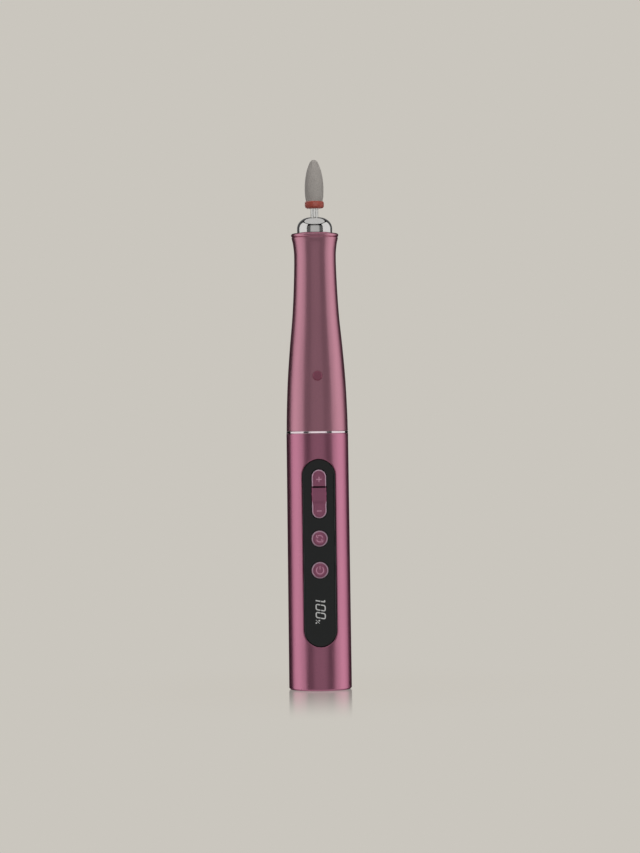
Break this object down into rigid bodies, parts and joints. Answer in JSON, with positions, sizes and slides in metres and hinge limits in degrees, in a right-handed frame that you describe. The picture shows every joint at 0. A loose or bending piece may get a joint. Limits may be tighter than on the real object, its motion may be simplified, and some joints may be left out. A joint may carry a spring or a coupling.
{
  "type": "electric nail grinder",
  "caption": "Slim pen-shaped cordless nail grinder: anodised housing, crowned black control panel with a speed rocker and round buttons, chrome nose and a pull-out ceramic grinding bit.",
  "frame": {"origin": "centre of the flat tail face, where the tool stands", "axes": "+Z along the pen towards the bit, -Y out of the control panel, +X to the right of someone facing the panel"},
  "size_m": [0.02, 0.02, 0.1682],
  "materials": {
    "anodised_rear": "satin mauve-pink anodised aluminium",
    "anodised_front": "satin mauve-pink anodised aluminium",
    "chrome": "polished",
    "steel": "ground steel",
    "black_gloss": "polished black acrylic",
    "key_pink": "metallised pink plastic",
    "plug_pink": "pink plastic",
    "ceramic": "sintered grey-white ceramic, matte",
    "band_red": "red grit mark",
    "brass": "turned",
    "aluminium": "turned",
    "board_green": "solder mask",
    "black_plastic": "fine moulded texture",
    "white_plastic": "moulded",
    "ferrite": "sintered",
    "copper": "wound and stamped copper",
    "cell_wrap": "shrink-wrapped can",
    "nickel": "nickel plated",
    "wire_red": "insulated wire",
    "wire_black": "insulated wire"
  },
  "bodies": {
    "housing": {"rear_shell": "anodised_rear", "front_shell": "anodised_front", "set_screw_plug": "plug_pink", "joint_ring": "chrome", "shell_coupler": "aluminium", "nose_cap": "chrome", "tail_cap": "black_plastic", "control_panel": "black_gloss", "circuit_board": "board_green", "display_module": "white_plastic", "driver_chip": "black_plastic", "board_screw_upper": "steel", "board_screw_lower": "steel", "battery_carrier": "black_plastic", "battery_cell": "cell_wrap", "battery_tab_positive": "nickel", "battery_tab_negative": "nickel", "usb_socket_shell": "steel", "usb_socket_tongue": "black_plastic", "charge_board": "board_green", "set_screw": "steel", "motor_sleeve": "aluminium", "motor_can": "nickel", "motor_magnet_left": "ferrite", "motor_magnet_right": "ferrite", "motor_end_cap": "white_plastic", "motor_brush_left": "copper", "motor_brush_right": "copper", "motor_wire_red": "wire_red", "motor_wire_black": "wire_black", "bearing_cartridge": "aluminium", "bearing_spacer": "aluminium", "preload_spring": "steel", "front_bearing_outer_race": "steel", "rear_bearing_outer_race": "steel", "plus_switch_body": "black_plastic", "minus_switch_body": "black_plastic", "direction_switch_body": "black_plastic", "power_switch_body": "black_plastic"},
    "spindle": {"spindle": "steel", "collet": "brass", "collet_ring": "steel", "drive_coupling": "brass", "motor_shaft": "steel", "armature": "copper", "commutator": "brass", "front_bearing_inner_race": "steel", "rear_bearing_inner_race": "steel"},
    "front_cage": {"front_bearing_balls": "steel"},
    "rear_cage": {"rear_bearing_balls": "steel"},
    "bit": {"bit_shank": "steel", "bit_band": "band_red", "bit_head": "ceramic"},
    "rocker": {"speed_rocker": "key_pink"},
    "direction_key": {"direction_button": "key_pink"},
    "power_key": {"power_button": "key_pink"},
    "plus_plunger": {"plus_switch_plunger": "white_plastic"},
    "minus_plunger": {"minus_switch_plunger": "white_plastic"},
    "direction_plunger": {"direction_switch_plunger": "white_plastic"},
    "power_plunger": {"power_switch_plunger": "white_plastic"}
  },
  "joints": [
    {"name": "spindle_spin", "type": "hinge", "parent": "housing", "child": "spindle", "pos_m": [0, 0, 0.128], "axis": [0, 0, 1], "continuous": true},
    {"name": "front_cage_orbit", "type": "hinge", "parent": "housing", "child": "front_cage", "pos_m": [0, 0, 0.136], "axis": [0, 0, 1], "continuous": true},
    {"name": "rear_cage_orbit", "type": "hinge", "parent": "housing", "child": "rear_cage", "pos_m": [0, 0, 0.12], "axis": [0, 0, 1], "continuous": true},
    {"name": "bit_pull", "type": "slide", "parent": "spindle", "child": "bit", "axis": [0, 0, 1], "range_m": [0, 0.03]},
    {"name": "rocker_tilt", "type": "hinge", "parent": "housing", "child": "rocker", "pos_m": [0, -0.007, 0.06215], "axis": [-1, 0, 0], "range_deg": [-3, 3], "stiffness_Nm_per_rad": 0.15},
    {"name": "plus_plunger_press", "type": "slide", "parent": "housing", "child": "plus_plunger", "axis": [0, 1, 0], "range_m": [-0.00026, 0.00026]},
    {"name": "minus_plunger_press", "type": "slide", "parent": "housing", "child": "minus_plunger", "axis": [0, 1, 0], "range_m": [-0.00026, 0.00026]},
    {"name": "direction_press", "type": "slide", "parent": "housing", "child": "direction_key", "axis": [0, 1, 0], "range_m": [0, 0.00035], "stiffness_N_per_m": 3000, "springref_m": -0.0001},
    {"name": "power_press", "type": "slide", "parent": "housing", "child": "power_key", "axis": [0, 1, 0], "range_m": [0, 0.00035], "stiffness_N_per_m": 3000, "springref_m": -0.0001},
    {"name": "direction_plunger_press", "type": "slide", "parent": "housing", "child": "direction_plunger", "axis": [0, 1, 0], "range_m": [0, 0.00035]},
    {"name": "power_plunger_press", "type": "slide", "parent": "housing", "child": "power_plunger", "axis": [0, 1, 0], "range_m": [0, 0.00035]}
  ],
  "couplings": [
    {"joint": "front_cage_orbit", "follows": "spindle_spin", "ratio": 0.42},
    {"joint": "rear_cage_orbit", "follows": "spindle_spin", "ratio": 0.42},
    {"joint": "plus_plunger_press", "follows": "rocker_tilt", "m_per_rad": 0.0049},
    {"joint": "minus_plunger_press", "follows": "rocker_tilt", "m_per_rad": -0.0049},
    {"joint": "direction_plunger_press", "follows": "direction_press", "ratio": 1},
    {"joint": "power_plunger_press", "follows": "power_press", "ratio": 1}
  ]
}
